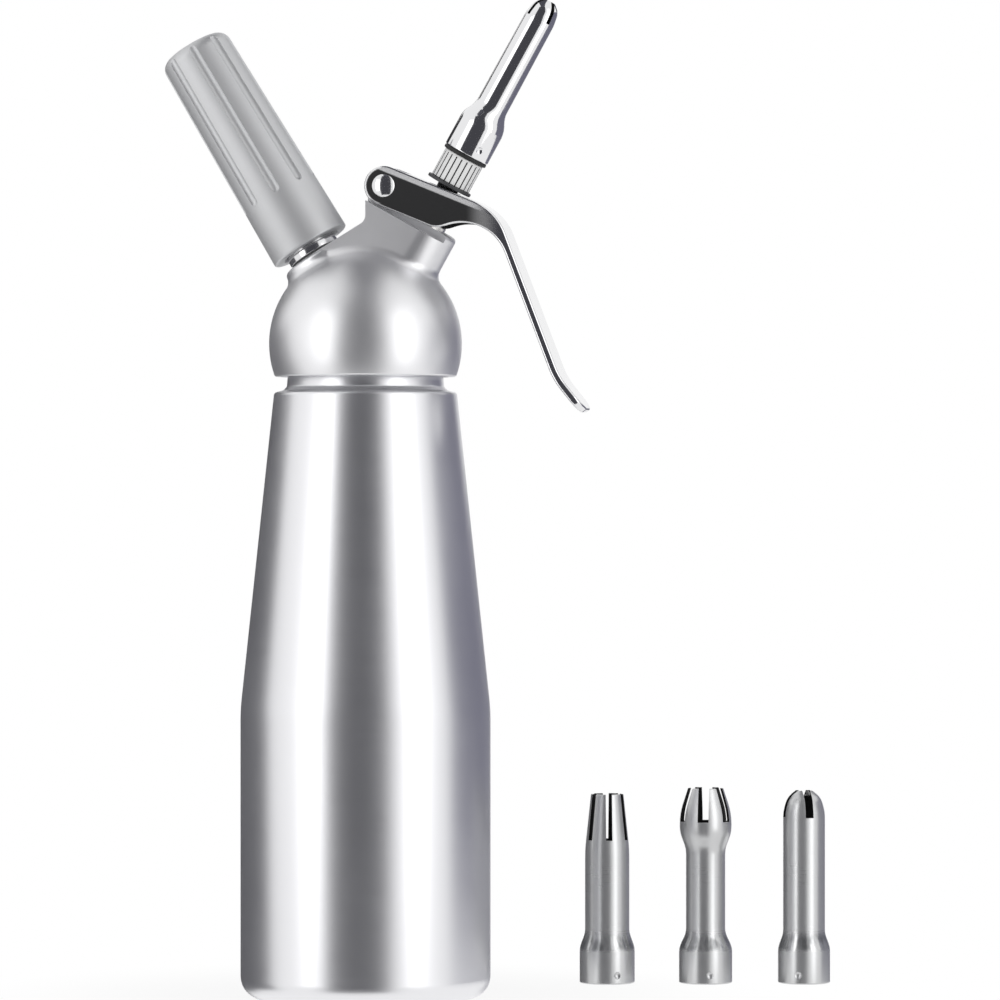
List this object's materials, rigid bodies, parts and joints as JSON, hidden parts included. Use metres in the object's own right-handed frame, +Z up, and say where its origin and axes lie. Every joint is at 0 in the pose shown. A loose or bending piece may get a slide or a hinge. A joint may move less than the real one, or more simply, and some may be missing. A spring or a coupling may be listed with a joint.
{
  "type": "whipped cream dispenser",
  "caption": "Whipped cream dispenser: aluminium bottle, domed screw-on head with squeeze lever, gas charger holder, decorating tip on a spring valve, and loose spare tips.",
  "frame": {"origin": "on the floor, at the middle of the bottle's flat base", "axes": "+Z up along the bottle, +X towards the lever and the decorating tip, +Y towards the row of spare tips"},
  "size_m": [0.2316, 0.1417, 0.3588],
  "materials": {
    "bottle_aluminium": "satin, fine brushing around the axis",
    "head_aluminium": "satin cast, bead blasted",
    "holder_aluminium": "satin anodised",
    "lever_polish": "polished arm, blackened yoke",
    "pin_steel": "polished",
    "stem_steel": "machined",
    "spring_steel": "drawn wire",
    "bushing_nickel": "machined, nickel plated",
    "dark_washer": "blackened",
    "adapter_plastic": "moulded white",
    "insert_plastic": "moulded white",
    "black_gasket": "matt black",
    "seal_rubber": "matt",
    "tip_polish": "polished stainless steel",
    "nipple_steel": "turned and polished",
    "charger_steel": "plain zinc finish",
    "spare_steel": "brushed around the axis"
  },
  "bodies": {
    "bottle": {"bottle": "bottle_aluminium"},
    "head_lift": {"head_gasket": "seal_rubber"},
    "head": {"head": "head_aluminium", "guide_bushing": "bushing_nickel", "charger_nipple": "nipple_steel", "nipple_gasket": "seal_rubber", "piercing_pin": "stem_steel", "charger_seal": "seal_rubber", "non_return_valve": "seal_rubber", "valve_spring": "spring_steel"},
    "lever": {"lever": "lever_polish", "lever_pin": "pin_steel", "pin_cap": "pin_steel"},
    "stem": {"valve_stem": "stem_steel", "stem_seal": "seal_rubber", "spring_seat": "stem_steel", "valve_seal": "seal_rubber", "valve_plug": "stem_steel", "thrust_disc": "dark_washer", "tip_adapter": "adapter_plastic"},
    "tip_lift": {"adapter_gasket": "black_gasket"},
    "tip": {"decorator_tip": "tip_polish", "tip_insert": "insert_plastic"},
    "holder_lift": {"gas_charger": "charger_steel"},
    "holder": {"charger_holder": "holder_aluminium"},
    "spare_star": {"spare_tip_star": "spare_steel", "spare_insert_star": "insert_plastic"},
    "spare_tulip": {"spare_tip_tulip": "spare_steel", "spare_insert_tulip": "insert_plastic"},
    "spare_round": {"spare_tip_round": "spare_steel", "spare_insert_round": "insert_plastic"}
  },
  "joints": [
    {"name": "head_rise", "type": "slide", "parent": "bottle", "child": "head_lift", "axis": [0, 0, 1], "range_m": [0, 0.012]},
    {"name": "head_turn", "type": "hinge", "parent": "head_lift", "child": "head", "pos_m": [0, 0, 0.2375], "axis": [0, 0, 1], "range_deg": [0, 1081]},
    {"name": "tip_rise", "type": "slide", "parent": "stem", "child": "tip_lift", "axis": [0.4879, 0, 0.8729], "range_m": [0, 0.006]},
    {"name": "tip_turn", "type": "hinge", "parent": "tip_lift", "child": "tip", "pos_m": [0.03688, 0, 0.30348], "axis": [0.4879, 0, 0.8729], "range_deg": [0, 1081]},
    {"name": "holder_rise", "type": "slide", "parent": "head", "child": "holder_lift", "axis": [-0.518, 0, 0.8554], "range_m": [0, 0.0135]},
    {"name": "holder_turn", "type": "hinge", "parent": "holder_lift", "child": "holder", "pos_m": [-0.02005, 0, 0.2706], "axis": [-0.518, 0, 0.8554], "range_deg": [0, 1621]},
    {"name": "lever_squeeze", "type": "hinge", "parent": "head", "child": "lever", "pos_m": [0.0084, 0, 0.2919], "axis": [0, 1, 0], "range_deg": [0, 7], "stiffness_Nm_per_rad": 1.3, "springref_deg": -13.18},
    {"name": "stem_press", "type": "slide", "parent": "head", "child": "stem", "axis": [-0.4879, 0, -0.8729], "range_m": [0, 0.00236], "deforming": ["valve_spring"]},
    {"name": "spare_star_lift", "type": "slide", "parent": "bottle", "child": "spare_star", "axis": [0, 0, 1], "range_m": [0, 0.05]},
    {"name": "spare_tulip_lift", "type": "slide", "parent": "bottle", "child": "spare_tulip", "axis": [0, 0, 1], "range_m": [0, 0.05]},
    {"name": "spare_round_lift", "type": "slide", "parent": "bottle", "child": "spare_round", "axis": [0, 0, 1], "range_m": [0, 0.05]}
  ],
  "couplings": [
    {"joint": "head_turn", "follows": "head_rise", "rad_per_m": 1570.8},
    {"joint": "tip_turn", "follows": "tip_rise", "rad_per_m": 3141.6},
    {"joint": "holder_turn", "follows": "holder_rise", "rad_per_m": 2094.4},
    {"joint": "stem_press", "follows": "lever_squeeze", "m_per_rad": 0.019207}
  ]
}
